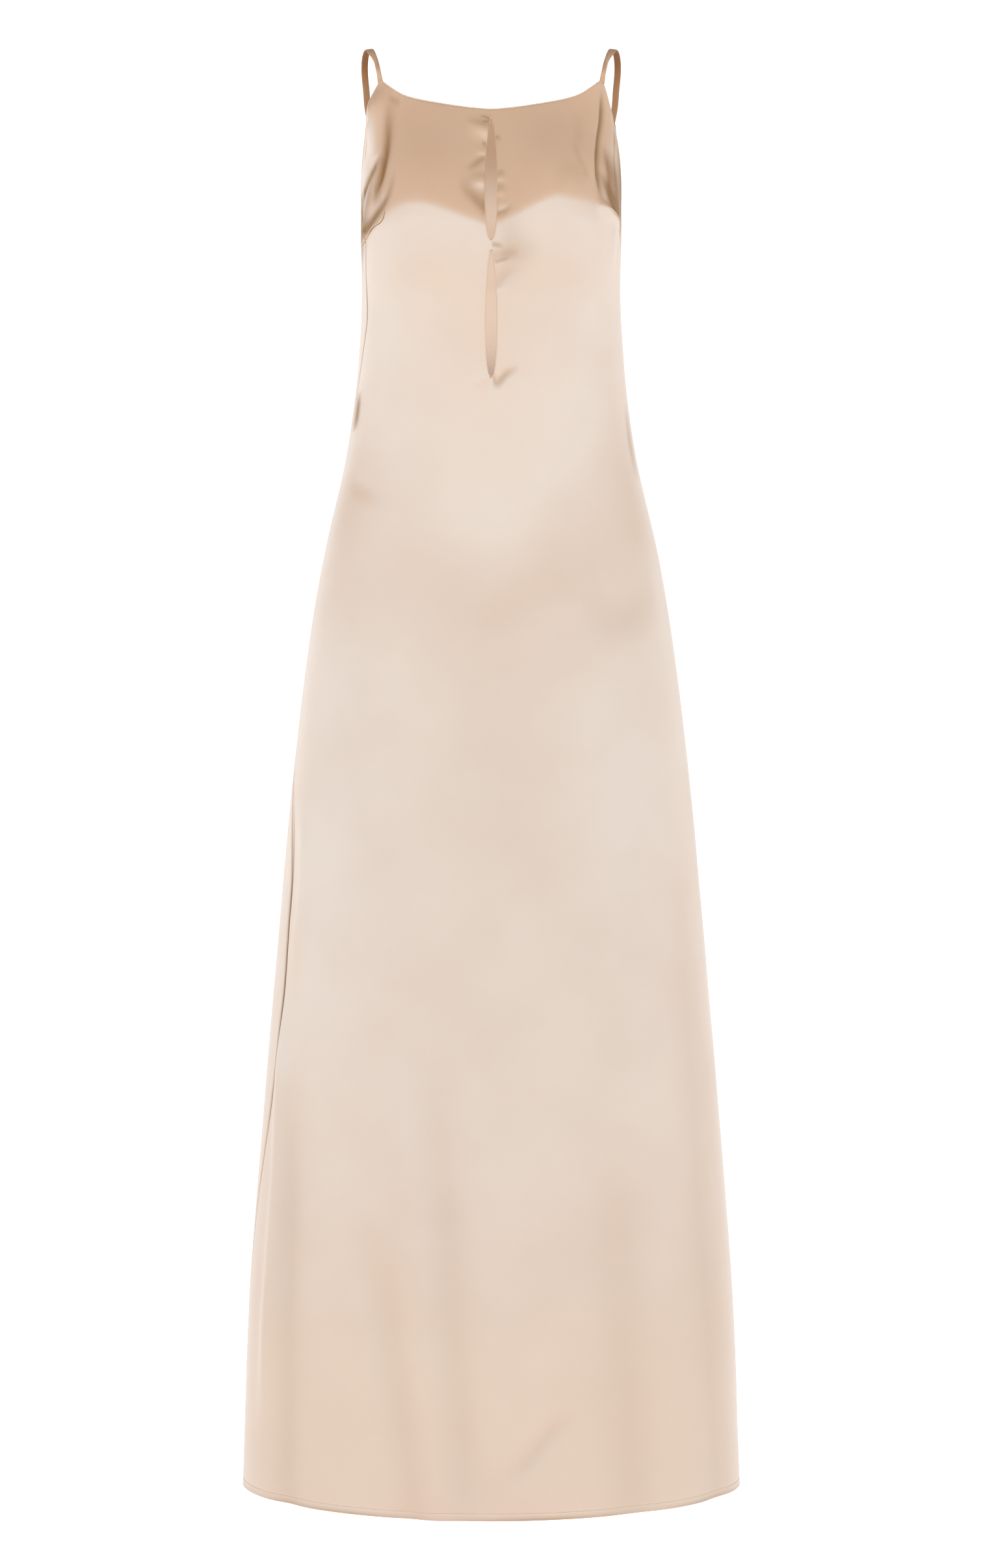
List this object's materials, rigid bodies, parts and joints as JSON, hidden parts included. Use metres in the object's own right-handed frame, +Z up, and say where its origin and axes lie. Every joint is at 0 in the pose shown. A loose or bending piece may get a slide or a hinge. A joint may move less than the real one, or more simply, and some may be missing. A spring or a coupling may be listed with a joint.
{
  "type": "slip dress",
  "caption": "Long satin slip dress in its worn, hollow form: front and back panels, thin shoulder straps, scooped neckline and slits down the middle of the front.",
  "frame": {"origin": "midway between the tops of the two straps, where a wearer's shoulders carry the dress", "axes": "+Z up, -Y the front of the dress, +X the wearer's left"},
  "size_m": [0.5192, 0.3636, 1.4979],
  "materials": {
    "satin": "champagne satin, soft sheen",
    "strap_satin": "turned satin strap, soft sheen"
  },
  "bodies": {
    "root": {"front_panel": "satin", "back_panel": "satin", "strap_left": "strap_satin", "strap_right": "strap_satin"}
  },
  "joints": []
}
